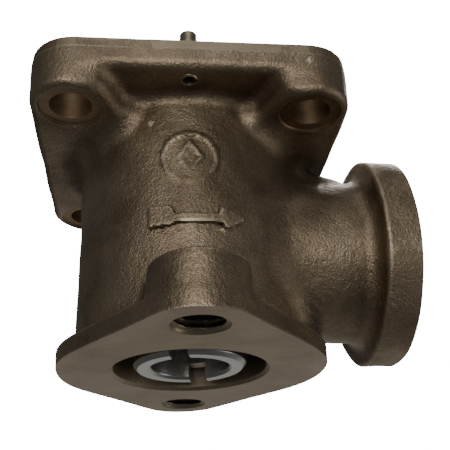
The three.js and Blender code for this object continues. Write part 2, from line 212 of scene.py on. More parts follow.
def skin(field, low, high, step):
    """Surface net of a distance field: one vertex in each cell that it crosses, one quad an edge."""
    counts = [int(math.ceil((b - a) / step)) + 1 for a, b in zip(low, high)]
    axes = [a + step * np.arange(n) for a, n in zip(low, counts)]
    grid = field(*np.meshgrid(*axes, indexing="ij"))
    inside = grid < 0
    total = np.zeros([n - 1 for n in counts] + [3])
    hits = np.zeros([n - 1 for n in counts])
    cells = [slice(0, -1), slice(1, None)]
    whole = slice(None)
    quads = []
    for axis in range(3):
        first = tuple(cells[0] if k == axis else whole for k in range(3))
        second = tuple(cells[1] if k == axis else whole for k in range(3))
        a, b = grid[first], grid[second]
        crossed = inside[first] != inside[second]
        share = np.where(crossed, a / np.where(crossed, a - b, 1), 0)
        others = [k for k in range(3) if k != axis]
        for i in range(2):
            for j in range(2):
                pick = [None] * 3
                pick[axis] = whole
                pick[others[0]] = cells[i]
                pick[others[1]] = cells[j]
                pick = tuple(pick)
                here = crossed[pick]
                hits += here
                offset = [0.0, 0.0, 0.0]
                offset[others[0]], offset[others[1]] = float(i), float(j)
                for k in range(3):
                    total[..., k] += here * (share[pick] if k == axis else offset[k])
        quads.append((axis, others, crossed, inside[first]))
    used = hits > 0
    number = np.full(used.shape, -1)
    number[used] = np.arange(used.sum())
    corner = np.argwhere(used)
    points = np.array(low) + step * (corner + total[used] / hits[used][:, None])
    faces = []
    for axis, others, crossed, start_inside in quads:
        inner = crossed.copy()
        for k in others:
            edge = [whole] * 3
            edge[k] = 0
            inner[tuple(edge)] = False
            edge[k] = -1
            inner[tuple(edge)] = False
        at = np.argwhere(inner)
        u, v = np.eye(3, dtype=int)[others[0]], np.eye(3, dtype=int)[others[1]]
        ring = [at - u - v, at - v, at, at - u]
        ids = np.stack([number[tuple(p.T)] for p in ring], axis=1)
        flip = start_inside[inner] ^ (axis == 1)
        ids[~flip] = ids[~flip][:, ::-1]
        faces.append(ids)
    return points, np.concatenate(faces)


def settle(points, field, rounds=3):
    """Moves points onto the field's surface along its slope."""
    for _ in range(rounds):
        h = 0.05
        slope = np.stack([(field(*(points + d).T) - field(*(points - d).T)) / (2 * h)
                          for d in np.eye(3) * h], axis=1)
        size = np.maximum((slope ** 2).sum(1), 0.25)
        points = points - slope * np.clip(field(*points.T) / size, -0.2, 0.2)[:, None]
    return points


def mesh_object(name, points, faces):
    """An object at the origin whose mesh is points in mm about the barrel's axis."""
    mesh = bpy.data.meshes.new(name)
    metres = np.asarray(points, dtype=float) * MM + np.array([axis_x, 0, body_low.z])
    mesh.from_pydata(metres.tolist(), [], faces if isinstance(faces, list) else faces.tolist())
    mesh.update()
    piece = bpy.data.objects.new(name, mesh)
    scene.collection.objects.link(piece)
    return piece


def ringed(name, rings, sides, place=(0, 0, 0), along="z", pitch=1.0):
    """Solid of revolution from (radius, height, thread depth) rings; radius 0 closes an end."""
    angle = 2 * math.pi * np.arange(sides) / sides
    points, faces, rows = [], [], []
    for r, z, depth in rings:
        if r == 0:
            rows.append([len(points)] * sides)
            points.append((0, 0, z))
            continue
        phase = (z / pitch - angle / (2 * math.pi)) % 1
        radius = r - depth * (1 - np.abs(2 * phase - 1))
        rows.append(list(range(len(points), len(points) + sides)))
        points += list(zip(radius * np.cos(angle), radius * np.sin(angle), np.full(sides, z)))
    pairs = list(zip(rows, rows[1:]))
    if rings[0][0] > 0:
        pairs.append((rows[-1], rows[0]))
    for low_row, high_row in pairs:
        for i in range(sides):
            j = (i + 1) % sides
            face = [low_row[i], low_row[j], high_row[j], high_row[i]]
            faces.append([v for k, v in enumerate(face) if v not in face[:k]])
    points = np.array(points, dtype=float)
    if along == "x":
        points = points[:, [2, 0, 1]]
    return mesh_object(name, points + np.array(place), faces)


def eased(profile, r, closed=False):
    """Rings from a profile of (radius, height) with each corner rounded off to about r."""
    rings = []
    count = len(profile)
    for i, here in enumerate(profile):
        if not closed and i in (0, count - 1):
            rings.append((*here, 0))
            continue
        ends = []
        for other in (profile[i - 1], profile[(i + 1) % count]):
            gap = math.dist(here, other)
            share = min(r, gap * 0.4) / gap
            ends.append([a + (b - a) * share for a, b in zip(here, other)])
        for t in (0, 0.33, 0.67, 1):
            rings.append((*[(1 - t) ** 2 * a + 2 * t * (1 - t) * b + t * t * c
                            for a, b, c in zip(ends[0], here, ends[1])], 0))
    return rings


def plain(profile):
    """Rings from a profile of (radius, height), with its corners left sharp."""
    return [(r, z, 0) for r, z in profile]


def block(low, high):
    """A box between two corners."""
    points = [(x, y, z) for x in (low[0], high[0]) for y in (low[1], high[1]) for z in (low[2], high[2])]
    faces = [[0, 1, 3, 2], [4, 6, 7, 5], [0, 4, 5, 1], [2, 3, 7, 6], [0, 2, 6, 4], [1, 5, 7, 3]]
    return mesh_object("block", points, faces)


def prism(corners, low, high):
    """A solid with an outline of (x, y) corners, from one height to another."""
    count = len(corners)
    points = [(x, y, z) for z in (low, high) for x, y in corners]
    faces = [[i, (i + 1) % count, count + (i + 1) % count, count + i] for i in range(count)]
    return mesh_object("prism", points, faces + [list(range(count))[::-1], list(range(count, 2 * count))])


def combined(piece, tools, operation="DIFFERENCE"):
    """Cuts or joins tools to a piece, for good, and removes the tools."""
    for tool in tools:
        change = piece.modifiers.new("change", "BOOLEAN")
        change.operation = operation
        change.solver = "MANIFOLD"
        change.object = tool
        solid = bpy.data.meshes.new_from_object(piece.evaluated_get(bpy.context.evaluated_depsgraph_get()))
        piece.modifiers.remove(change)
        piece.data = solid
        bpy.data.objects.remove(tool)
    return piece


def crisp(piece, degrees=32):
    """Smooth shading, with sharp edges where faces meet at more than an angle."""
    piece.data.shade_smooth()
    piece.data.set_sharp_from_angle(angle=math.radians(degrees))


# Machining: flange faces, rim, bores, ring groove, outlet thread, bolt holes and their spotfaces.
BORE = {"r": 18.4, "top": 43, "chamfer": 0.8}
DIVIDER = {"top": 47, "hole_r": 11.9}
UPPER = {"r": 20, "groove_r": 21.2, "groove": (48, 49.65), "chamfer": 0.5}
PIPE_THREAD = {"r": 16.6, "depth": 1.45, "pitch": 2.309, "length": 19, "bore_r": 12.5}
BOLT = {"half": BOLT_BOSS["at"], "r": 5, "seat_r": 7.6, "seat": 56}
LOWER_BOLT = {"r": 5.9, "depth": 0.75, "pitch": 1.5}
RIM = {"low": 66.1, "skim": 0.12}
PIN = {"x": -1, "y": -33.6, "r": 2.1}
FINE = 128


def rounded_square(half, corner):
    """Corners of a square whose four corners are rounded, each in eight steps."""
    turn = math.pi / 2
    return [((half - corner) * cx + corner * math.cos(turn * (q + t / 8)),
             (half - corner) * cy + corner * math.sin(turn * (q + t / 8)))
            for q, (cx, cy) in enumerate([(1, 1), (-1, 1), (-1, -1), (1, -1)])
            for t in range(9)]


top = FLANGE["top"]
edge = 2 * STOCK
low = (-FLANGE["half"] - edge, -LOWER_BOSS["y"] - LOWER_BOSS["foot_r"] - edge, -edge)
high = (OUTLET["end"] + edge, LOWER_BOSS["y"] + LOWER_BOSS["foot_r"] + edge, top + edge)
points, faces = skin(raw_casting, low, high, STEP)
casting = mesh_object("body_casting", settle(points, raw_casting), faces)

rim = prism(rounded_square(60, 5), RIM["low"], top + edge)
combined(rim, [prism(rounded_square(FLANGE["half"] - RIM["skim"], FLANGE["corner"] - RIM["skim"]),
                     RIM["low"] - 1, top + 2 * edge)])
tools = [
    block((-60, -60, -9), (70, 60, 0)),
    block((-60, -60, top), (70, 60, top + 9)),
    block((OUTLET["end"], -60, -9), (70, 60, 69)),
    rim,
    ringed("bore", plain([(0, -3), (BORE["r"] + BORE["chamfer"] + 3, -3), (BORE["r"], BORE["chamfer"]),
                          (BORE["r"], BORE["top"]), (0, BORE["top"])]), FINE),
    ringed("divider", plain([(0, 40), (DIVIDER["hole_r"], 40), (DIVIDER["hole_r"], 49), (0, 49)]), FINE),
    ringed("upper", plain([(0, DIVIDER["top"]), (UPPER["r"], DIVIDER["top"]),
                           (UPPER["r"], UPPER["groove"][0]), (UPPER["groove_r"], UPPER["groove"][0]),
                           (UPPER["groove_r"], UPPER["groove"][1]), (UPPER["r"], UPPER["groove"][1]),
                           (UPPER["r"], top - UPPER["chamfer"]), (UPPER["r"] + UPPER["chamfer"] + 3, top + 3),
                           (0, top + 3)]), FINE),
    ringed("port", plain([(0, 0), (PIPE_THREAD["bore_r"], 0), (PIPE_THREAD["bore_r"], 60), (0, 60)]), 96,
           (0, 0, OUTLET["z"]), "x"),
]
rows = 8 * int(PIPE_THREAD["length"] / PIPE_THREAD["pitch"])
start = OUTLET["end"] - PIPE_THREAD["length"]
r, depth = PIPE_THREAD["r"], PIPE_THREAD["depth"]
thread = [(r - depth, start, 0), (r - depth, start + 2.2, 0)]
thread += [(r, start + 2.4 + i * PIPE_THREAD["pitch"] / 8, depth) for i in range(rows - 12)]
thread += [(r, OUTLET["end"] - 1.6, 0), (r + 1.6 + 3, OUTLET["end"] + 3, 0)]
tools.append(ringed("pipe_thread", [(0, start, 0)] + thread + [(0, OUTLET["end"] + 3, 0)], 96,
                    (0, 0, OUTLET["z"]), "x", PIPE_THREAD["pitch"]))
for sx in (-1, 1):
    for sy in (-1, 1):
        place = (sx * BOLT["half"], sy * BOLT["half"], 0)
        tools.append(ringed("hole", plain([(0, 50), (BOLT["r"], 50), (BOLT["r"], top - 0.4),
                                           (BOLT["r"] + 3.4, top + 3), (0, top + 3)]), 64, place))
        seat_r, seat = BOLT["seat_r"], BOLT["seat"]
        tools.append(ringed("seat", plain([(0, 47), (seat_r, 47), (seat_r, seat - 0.3), (seat_r - 0.3, seat),
                                           (0, seat)]), 64, place))
for side in (-1, 1):
    r, depth, pitch = LOWER_BOLT["r"], LOWER_BOLT["depth"], LOWER_BOLT["pitch"]
    thread = [(0, -3, 0), (r + 3.2, -3, 0), (r, 0.4, 0)]
    thread += [(r, 0.6 + i * pitch / 8, depth) for i in range(int(8 * 13 / pitch))]
    thread += [(r, 14.5, 0), (0, 14.5, 0)]
    tools.append(ringed("lower_hole", thread, 64, (0, side * LOWER_BOSS["y"], 0), "z", pitch))
tools.append(ringed("pin_hole", plain([(0, 58), (PIN["r"] + 0.05, 58), (PIN["r"] + 0.05, top + 3),
                                       (0, top + 3)]), 48, (PIN["x"], PIN["y"], 0)))
combined(casting, tools)

centres = np.zeros(len(casting.data.polygons) * 3)
casting.data.polygons.foreach_get("center", centres)
centres = (centres.reshape(-1, 3) - np.array([axis_x, 0, body_low.z])) / MM
machined = raw_casting(*centres.T) < -0.05
crisp(casting, 38)


def add(tree, kind, inputs=None, **settings):
    """A node of a kind with its settings, and its inputs set to values or linked to sockets."""
    node = tree.nodes.new(kind)
    for key, value in settings.items():
        setattr(node, key, value)
    for key, value in (inputs or {}).items():
        if isinstance(value, bpy.types.NodeSocket):
            tree.links.new(value, node.inputs[key])
        else:
            node.inputs[key].default_value = value
    return node


def effect(name, inputs, outputs):
    """A new node group with float inputs; gives the tree and its input and output nodes."""
    tree = bpy.data.node_groups.new(name, "ShaderNodeTree")
    for label, value in inputs.items():
        tree.interface.new_socket(label, in_out="INPUT", socket_type="NodeSocketFloat").default_value = value
    for label, kind in outputs.items():
        tree.interface.new_socket(label, in_out="OUTPUT", socket_type=kind)
    return tree, tree.nodes.new("NodeGroupInput"), tree.nodes.new("NodeGroupOutput")


def surface(name, **constants):
    """A material with a Principled shader whose constant values are set; gives all three."""
    material = bpy.data.materials.new(name)
    material.use_nodes = True
    shader = material.node_tree.nodes["Principled BSDF"]
    for key, value in constants.items():
        shader.inputs[key.replace("_", " ")].default_value = value
    return material, material.node_tree, shader


def ramp(tree, value, stops):
    """Colour ramp through (position, colour) stops."""
    node = add(tree, "ShaderNodeValToRGB", {"Fac": value})
    while len(node.color_ramp.elements) < len(stops):
        node.color_ramp.elements.new(0.5)
    for element, (position, colour) in zip(node.color_ramp.elements, stops):
        element.position = position
        element.color = (*colour, 1)
    return node.outputs["Color"]


def figure(tree, operation, a, b=0.5, **settings):
    """A Math node's result; a and b are values or sockets."""
    return add(tree, "ShaderNodeMath", {0: a, 1: b}, operation=operation, **settings).outputs[0]


def painted(tree, mask, colour, over):
    """A colour with another laid over it where the mask is white."""
    over = over if isinstance(over, bpy.types.NodeSocket) else (*over, 1)
    return add(tree, "ShaderNodeMix", {0: mask, 6: colour, 7: over}, data_type="RGBA").outputs[2]


def bumps(tree, height, distance, strength, normal=None):
    """A Bump node's normal, built up on another if one is given."""
    inputs = {"Height": height, "Distance": distance, "Strength": strength}
    if normal:
        inputs["Normal"] = normal
    return add(tree, "ShaderNodeBump", inputs).outputs["Normal"]


def dressed(tree, shader, colour, normal):
    """Gives a shader its colour and normal."""
    tree.links.new(colour, shader.inputs["Base Color"])
    tree.links.new(normal, shader.inputs["Normal"])


# Sand-cast skin, shared by the rough bronze: grains, pits and soft cloudy tone.
sand, given, gives = effect("sand_skin", {"Grain": 0.6, "Cloud": 1.0},
                            {"Normal": "NodeSocketVector", "Tone": "NodeSocketFloat",
                             "Speck": "NodeSocketFloat"})
spot = add(sand, "ShaderNodeTexCoord").outputs["Object"]
grain = add(sand, "ShaderNodeTexNoise", {"Vector": spot, "Scale": 2100.0, "Detail": 3.0, "Roughness": 0.6})
lumps = add(sand, "ShaderNodeTexNoise", {"Vector": spot, "Scale": 620.0, "Detail": 3.0, "Roughness": 0.6})
cloud = add(sand, "ShaderNodeTexNoise", {"Vector": spot, "Scale": 62.0, "Detail": 4.0, "Roughness": 0.6,
                                         "Distortion": 0.6})
pits = add(sand, "ShaderNodeTexVoronoi", {"Vector": spot, "Scale": 620.0, "Randomness": 1.0})
pit = add(sand, "ShaderNodeMapRange", {"Value": pits.outputs["Distance"], "From Min": 0.08, "From Max": 0.3})
strength = given.outputs["Grain"]
bumpy = bumps(sand, lumps.outputs["Fac"], 0.00023, strength)
bumpy = bumps(sand, grain.outputs["Fac"], 0.0002, strength, bumpy)
bumpy = bumps(sand, pit.outputs["Result"], 0.00004, strength, bumpy)
tone = figure(sand, "SUBTRACT", cloud.outputs["Fac"], 0.5)
tone = figure(sand, "MULTIPLY", tone, given.outputs["Cloud"])
fleck = figure(sand, "MULTIPLY", grain.outputs["Fac"], 0.35)
tone = figure(sand, "ADD", tone, fleck)
tone = figure(sand, "ADD", tone, 0.33, use_clamp=True)
sand.links.new(bumpy, gives.inputs["Normal"])
sand.links.new(tone, gives.inputs["Tone"])
sand.links.new(pit.outputs["Result"], gives.inputs["Speck"])

# Tool marks, shared by every machined metal: fine rings about the barrel's axis and faint strokes.
marks, given, gives = effect("tool_marks", {"Rings": 0.3, "Strokes": 0.3, "Across": 0.0},
                             {"Normal": "NodeSocketVector", "Tone": "NodeSocketFloat"})
spot = add(marks, "ShaderNodeTexCoord").outputs["Object"]
spot = add(marks, "ShaderNodeVectorMath", {0: spot, 1: (axis_x, 0, 0)}, operation="SUBTRACT")
parts = add(marks, "ShaderNodeSeparateXYZ", {"Vector": spot.outputs[0]})
flat = add(marks, "ShaderNodeCombineXYZ", {"X": parts.outputs["X"], "Y": parts.outputs["Y"]})
far = add(marks, "ShaderNodeVectorMath", {0: flat.outputs[0]}, operation="LENGTH")
along = figure(marks, "ADD", far.outputs["Value"], parts.outputs["Z"])
rings = add(marks, "ShaderNodeTexNoise", {"W": along, "Scale": 5200.0, "Detail": 2.0},
            noise_dimensions="1D")
lines = add(marks, "ShaderNodeMapping", {"Vector": spot.outputs[0], "Rotation": (0, 0, 0.7),
                                         "Scale": (90, 2600, 900)})
strokes = add(marks, "ShaderNodeTexNoise", {"Vector": lines.outputs[0], "Scale": 1.0, "Detail": 3.0})
bumpy = bumps(marks, rings.outputs["Fac"], 0.00002, given.outputs["Rings"])
bumpy = bumps(marks, strokes.outputs["Fac"], 0.00002, given.outputs["Strokes"], bumpy)
blend = figure(marks, "ADD", rings.outputs["Fac"], strokes.outputs["Fac"])
blend = figure(marks, "MULTIPLY", blend, 0.5)
marks.links.new(bumpy, gives.inputs["Normal"])
marks.links.new(blend, gives.inputs["Tone"])

# Painted shade and grime, shared by every metal: a mask of how far a spot is tucked away in a bore, a slot or
# a corner, used to darken it.
shade_and_grime, given, gives = effect("shade_and_grime", {"Reach": 0.012, "Clean": 0.9}, {"Mask": "NodeSocketFloat"})
# Ambient occlusion stands in for the shade that falls in recesses.
shut = add(shade_and_grime, "ShaderNodeAmbientOcclusion", {"Distance": given.outputs["Reach"]}, samples=8,
           only_local=True)
mask = add(shade_and_grime, "ShaderNodeMapRange", {"Value": shut.outputs["AO"], "From Min": 0.2,
                                         "From Max": given.outputs["Clean"], "To Min": 1.0, "To Max": 0.0},
           interpolation_type="SMOOTHSTEP")
shade_and_grime.links.new(mask.outputs["Result"], gives.inputs["Mask"])


def shared(tree, group, **values):
    """A shared effect placed in a material with its own values."""
    node = add(tree, "ShaderNodeGroup", node_tree=group)
    for key, value in values.items():
        node.inputs[key].default_value = value
    return node


# Cast bronze: brown and matt, darker in the corners from painted shade and grime, and brighter where it has
# been rubbed.
cast_bronze, tree, shader = surface("cast_bronze", Metallic=0.9, Roughness=0.5)
rough = shared(tree, sand, Grain=0.8, Cloud=0.8)
recess_shade_and_grime = shared(tree, shade_and_grime, Reach=0.009, Clean=0.8)
colour = ramp(tree, rough.outputs["Tone"], [(0.15, (0.08, 0.057, 0.036)), (0.4, (0.205, 0.155, 0.102)),
                                            (0.6, (0.335, 0.262, 0.178)), (0.85, (0.51, 0.425, 0.31))])
shape = add(tree, "ShaderNodeNewGeometry")
# Painted shade: concave creases, found by their pointiness, are darkened.
crease_shade = add(tree, "ShaderNodeMapRange", {"Value": shape.outputs["Pointiness"], "From Min": 0.40,
                                          "From Max": 0.485, "To Min": 1.0, "To Max": 0.0})
worn = add(tree, "ShaderNodeMapRange", {"Value": shape.outputs["Pointiness"], "From Min": 0.515,
                                        "From Max": 0.6})
colour = painted(tree, crease_shade.outputs["Result"], colour, (0.07, 0.052, 0.038))
colour = painted(tree, worn.outputs["Result"], colour, (0.58, 0.50, 0.38))
# Painted shade and grime: spots tucked away in recesses go dark brown.
colour = painted(tree, recess_shade_and_grime.outputs["Mask"], colour, (0.05, 0.038, 0.028))
matt = add(tree, "ShaderNodeMapRange", {"Value": rough.outputs["Tone"], "To Min": 0.56, "To Max": 0.36})
tree.links.new(matt.outputs["Result"], shader.inputs["Roughness"])
dressed(tree, shader, colour, rough.outputs["Normal"])

# The same bronze where it is machined: paler, smoother and finely scored.
machined_bronze, tree, shader = surface("machined_bronze", Metallic=0.9, Roughness=0.46)
scored = shared(tree, marks, Rings=0.25, Strokes=0.35)
stain = shared(tree, sand, Grain=0.1, Cloud=1.0)
blend = figure(tree, "ADD", stain.outputs["Tone"], scored.outputs["Tone"])
blend = figure(tree, "MULTIPLY", blend, 0.5)
colour = ramp(tree, blend, [(0.3, (0.25, 0.195, 0.13)), (0.5, (0.40, 0.325, 0.23)),
                            (0.7, (0.54, 0.45, 0.34))])
recess_shade_and_grime = shared(tree, shade_and_grime, Reach=0.02, Clean=0.75)
# Painted shade and grime: the bores and recesses go nearly black.
colour = painted(tree, recess_shade_and_grime.outputs["Mask"], colour, (0.022, 0.017, 0.013))
dressed(tree, shader, colour, scored.outputs["Normal"])

# The spotfaces and bolt holes were cut long before, and have browned.
browned_bronze, tree, shader = surface("browned_bronze", Metallic=0.9, Roughness=0.5)
scored = shared(tree, marks, Rings=0.1, Strokes=0.4)
stain = shared(tree, sand, Grain=0.15, Cloud=1.0)
recess_shade_and_grime = shared(tree, shade_and_grime, Reach=0.005, Clean=0.7)
colour = ramp(tree, stain.outputs["Tone"], [(0.3, (0.17, 0.118, 0.07)), (0.55, (0.30, 0.215, 0.13)),
                                            (0.75, (0.42, 0.32, 0.20))])
# Painted shade and grime: the bolt holes and the corners of the spotfaces go nearly black.
colour = painted(tree, recess_shade_and_grime.outputs["Mask"], colour, (0.03, 0.021, 0.014))
dressed(tree, shader, colour, scored.outputs["Normal"])

old = machined & (np.abs(np.abs(centres[:, 0]) - BOLT["half"]) < 9)
old = old & (np.abs(np.abs(centres[:, 1]) - BOLT["half"]) < 9) & (centres[:, 2] < top - 1)
casting.data.materials.clear()
for material in (cast_bronze, machined_bronze, browned_bronze):
    casting.data.materials.append(material)
casting.data.polygons.foreach_set("material_index", machined.astype(np.int32) + old.astype(np.int32))
casting.data.update()
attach(casting, "housing")
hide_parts("body")

# ---- Locating pin ------------------------------------------------------------------------------
# Rolled pin of dull spring steel, slotted down one side. It is driven into the front of the top
# flange, stands up above it, and shows at its hole under the lip.
spring_steel, tree, shader = surface("spring_steel", Metallic=1.0, Roughness=0.42)
scored = shared(tree, marks, Rings=0.1, Strokes=0.5)
colour = ramp(tree, scored.outputs["Tone"], [(0.35, (0.30, 0.26, 0.18)), (0.65, (0.52, 0.46, 0.32))])
dressed(tree, shader, colour, scored.outputs["Normal"])


def fitted(piece, node, body, material, degrees=32):
    """Finishes a piece: its shading, material, the body it moves with and the node it stands for."""
    piece.name = node + "_fine"
    crisp(piece, degrees)
    piece.data.materials.clear()
    piece.data.materials.append(material)
    piece.data.polygons.foreach_set("material_index", [0] * len(piece.data.polygons))
    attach(piece, body)
    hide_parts(node)


low_z, high_z = LIP["under"] - 0.6, FLANGE["top"] + 5.6
wall = [(PIN["r"] - 0.5, low_z), (PIN["r"] - 0.3, low_z), (PIN["r"], low_z + 0.3), (PIN["r"], high_z - 0.3),
        (PIN["r"] - 0.3, high_z), (PIN["r"] - 0.5, high_z)]
pin = ringed("pin", eased(wall, 0.08, True), 64, (PIN["x"], PIN["y"], 0))
combined(pin, [block((PIN["x"], PIN["y"] - 0.4, low_z - 1), (PIN["x"] + 4, PIN["y"] + 0.4, high_z + 1))])
fitted(pin, "locating_pin", "housing", spring_steel)

# ---- Sleeve and its gasket ---------------------------------------------------------------------
# Turned stainless tube, screwed into the divider on a graphite ring. A driving slot is cut across
# its foot, and four windows let the condensate out to the outlet.
stainless, tree, shader = surface("stainless", Metallic=1.0, Roughness=0.3)
scored = shared(tree, marks, Rings=0.35, Strokes=0.1)
colour = ramp(tree, scored.outputs["Tone"], [(0.3, (0.50, 0.49, 0.46)), (0.7, (0.70, 0.69, 0.66))])
recess_shade_and_grime = shared(tree, shade_and_grime, Reach=0.012, Clean=0.7)
# Painted shade and grime: the slots, the windows and other recesses go nearly black.
colour = painted(tree, recess_shade_and_grime.outputs["Mask"], colour, (0.03, 0.026, 0.022))
gloss = add(tree, "ShaderNodeMapRange", {"Value": scored.outputs["Tone"], "To Min": 0.22, "To Max": 0.42})
tree.links.new(gloss.outputs["Result"], shader.inputs["Roughness"])
dressed(tree, shader, colour, scored.outputs["Normal"])

SLEEVE = {"r": 13.6, "bore": 9.35, "foot": 0.6, "shoulder": 42.2, "thread_r": 11.8, "top": 48}
SEAT = {"r": 8, "bush_r": 7.9, "floor": 43, "ledge": 2, "ledge_r": 6.5, "throat": 3, "gasket": 0.4}
WINDOW = {"wide": 9, "high": 18, "count": 4}
SLOT = {"wide": 4.3, "deep": 4, "turn": math.radians(-14.7)}
foot, bore = SLEEVE["foot"], SLEEVE["bore"]
wall = [(bore + 0.7, foot), (SLEEVE["r"] - 1, foot), (SLEEVE["r"], foot + 1),
        (SLEEVE["r"], SLEEVE["shoulder"]), (SLEEVE["thread_r"], SLEEVE["shoulder"]),
        (SLEEVE["thread_r"], SLEEVE["top"]),
        (SEAT["r"], SLEEVE["top"]), (SEAT["r"], SEAT["floor"]), (SEAT["ledge_r"], SEAT["floor"]),
        (SEAT["ledge_r"], SEAT["floor"] - SEAT["ledge"]), (bore, SEAT["floor"] - SEAT["ledge"]),
        (bore, foot + 0.7)]
sleeve = ringed("sleeve", eased(wall, 0.12, True), FINE)


def turned_about(corners, angle):
    """Corners turned about the barrel's axis."""
    c, s = math.cos(angle), math.sin(angle)
    return [(x * c - y * s, x * s + y * c) for x, y in corners]


def oblong(x0, x1, y0, y1):
    """Corners of an oblong."""
    return [(x0, y0), (x1, y0), (x1, y1), (x0, y1)]


half = SLOT["wide"] / 2
tools = [prism(turned_about(oblong(-half, half, -16, 16), SLOT["turn"]), foot - 1, foot + SLOT["deep"])]
half = WINDOW["wide"] / 2
for i in range(WINDOW["count"]):
    tools.append(prism(turned_about(oblong(1, 16, -half, half), i * math.pi / 2),
                       OUTLET["z"] - WINDOW["high"] / 2, OUTLET["z"] + WINDOW["high"] / 2))
combined(sleeve, tools)
fitted(sleeve, "sleeve", "housing", stainless)


def washer(node, inner, outer, low_z, high_z, body, material, ease=0.12, sides=96):
    """A flat ring with eased edges."""
    wall = [(inner, low_z), (outer, low_z), (outer, high_z), (inner, high_z)]
    fitted(ringed(node, eased(wall, ease, True), sides), node, body, material)


graphite, tree, shader = surface("graphite", Metallic=0.0, Roughness=0.75)
grain = shared(tree, sand, Grain=0.2, Cloud=0.6)
colour = ramp(tree, grain.outputs["Tone"], [(0.3, (0.028, 0.028, 0.031)), (0.7, (0.065, 0.066, 0.072))])
dressed(tree, shader, colour, grain.outputs["Normal"])

washer("sleeve_gasket", DIVIDER["hole_r"], SLEEVE["r"], SLEEVE["shoulder"], BORE["top"], "housing",
       graphite)

# ---- Valve seat and its gasket -----------------------------------------------------------------
# Hardened steel bush, screwed into the top of the sleeve on a graphite ring and cross-slotted for
# its key. The valve's throat runs through it.
hardened, tree, shader = surface("hardened", Metallic=1.0, Roughness=0.2)
scored = shared(tree, marks, Rings=0.12, Strokes=0.05)
colour = ramp(tree, scored.outputs["Tone"], [(0.3, (0.40, 0.40, 0.40)), (0.7, (0.55, 0.54, 0.53))])
dressed(tree, shader, colour, scored.outputs["Normal"])

seat_low = SEAT["floor"] + SEAT["gasket"]
washer("seat_gasket", SEAT["ledge_r"], SEAT["bush_r"], SEAT["floor"], seat_low, "housing",
       graphite, 0.06)
wall = [(SEAT["throat"], seat_low), (SEAT["bush_r"], seat_low), (SEAT["bush_r"], SLEEVE["top"]),
        (SEAT["throat"], SLEEVE["top"])]
seat = ringed("seat", eased(wall, 0.1, True), 96)
combined(seat, [prism(turned_about(oblong(-9, 9, -1.5, 1.5), turn), SLEEVE["top"] - 2, SLEEVE["top"] + 1)
                for turn in (0, math.pi / 2)])
fitted(seat, "valve_seat", "housing", hardened)

# ---- Valve: ball, stem and nuts ----------------------------------------------------------------
# A drilled ball of hardened steel on a headed stainless stem, which hangs through the seat from the
# stack of discs. A washer and two hexagon nuts hold it there and set the cold gap.
BALL = {"r": 4.2, "lift": 2.2, "flat": 3.6}
STEM = {"r": 1.5, "head_r": 2.3, "head": 0.9, "pitch": 0.5}
STACK = {"low": 48.8, "count": 8, "thick": 0.8, "r": 8.5, "hole": 1.75, "thrust": 1, "thrust_r": 5.6}
NUT = {"flats": 8, "thick": 2.4, "lock_flats": 7, "lock_thick": 1.8}
stack_top = STACK["low"] + STACK["count"] * STACK["thick"]
stem_top = stack_top + STACK["thrust"] + NUT["thick"] + NUT["lock_thick"] + 1.2
ball_z = seat_low - math.sqrt(BALL["r"] ** 2 - SEAT["throat"] ** 2) - 0.05 - BALL["lift"]
cut = math.acos(BALL["flat"] / BALL["r"])
hole = math.asin((STEM["r"] + 0.05) / BALL["r"])
sweep = [math.pi - cut + (hole - math.pi + cut) * i / 40 for i in range(41)]
arc = [(BALL["r"] * math.sin(t), ball_z + BALL["r"] * math.cos(t)) for t in sweep]
ball = ringed("ball", plain(arc + [(STEM["r"] + 0.05, ball_z - BALL["flat"])]), 96)
fitted(ball, "valve_ball", "valve", hardened)

head = ball_z - BALL["flat"]
rings = [(0, head - STEM["head"], 0), (STEM["head_r"] - 0.2, head - STEM["head"], 0),
         (STEM["head_r"], head - STEM["head"] + 0.2, 0), (STEM["head_r"], head, 0), (STEM["r"], head, 0),
         (STEM["r"], stack_top, 0)]
count = int((stem_top - 0.3 - stack_top - 0.1) / (STEM["pitch"] / 6))
rings += [(STEM["r"], stack_top + 0.1 + i * STEM["pitch"] / 6, 0.22) for i in range(count)]
rings += [(STEM["r"] - 0.25, stem_top, 0), (0, stem_top, 0)]
stem = ringed("stem", rings, 48, pitch=STEM["pitch"])
combined(stem, [block((-3, -0.3, stem_top - 0.8), (3, 0.3, stem_top + 1))])
fitted(stem, "valve_stem", "valve", stainless, 40)


def nut(node, flats, low_z, high_z):
    """A hexagon nut, chamfered top and bottom."""
    reach = flats / math.sqrt(3)
    corners = [(reach * math.cos(i * math.pi / 3), reach * math.sin(i * math.pi / 3)) for i in range(6)]
    hexagon = prism(corners, low_z, high_z)
    slant = (reach - flats / 2) * 0.6
    dome = ringed("dome", plain([(0, low_z), (flats / 2, low_z), (reach + 0.02, low_z + slant),
                                 (reach + 0.02, high_z - slant), (flats / 2, high_z), (0, high_z)]), 96)
    combined(hexagon, [dome], "INTERSECT")
    inner = STEM["r"] + 0.05
    combined(hexagon, [ringed("hole", plain([(0, low_z - 1), (inner + 1.2, low_z - 1), (inner, low_z + 0.2),
                                             (inner, high_z - 0.2), (inner + 1.2, high_z + 1),
                                             (0, high_z + 1)]), 48)])
    fitted(hexagon, node, "valve", stainless, 25)


nut_low = stack_top + STACK["thrust"]
lock_low = nut_low + NUT["thick"]
nut("adjusting_nut", NUT["flats"], nut_low, lock_low)
nut("lock_nut", NUT["lock_flats"], lock_low, lock_low + NUT["lock_thick"])
washer("thrust_washer", STACK["hole"], STACK["thrust_r"], stack_top, nut_low, "valve", stainless)

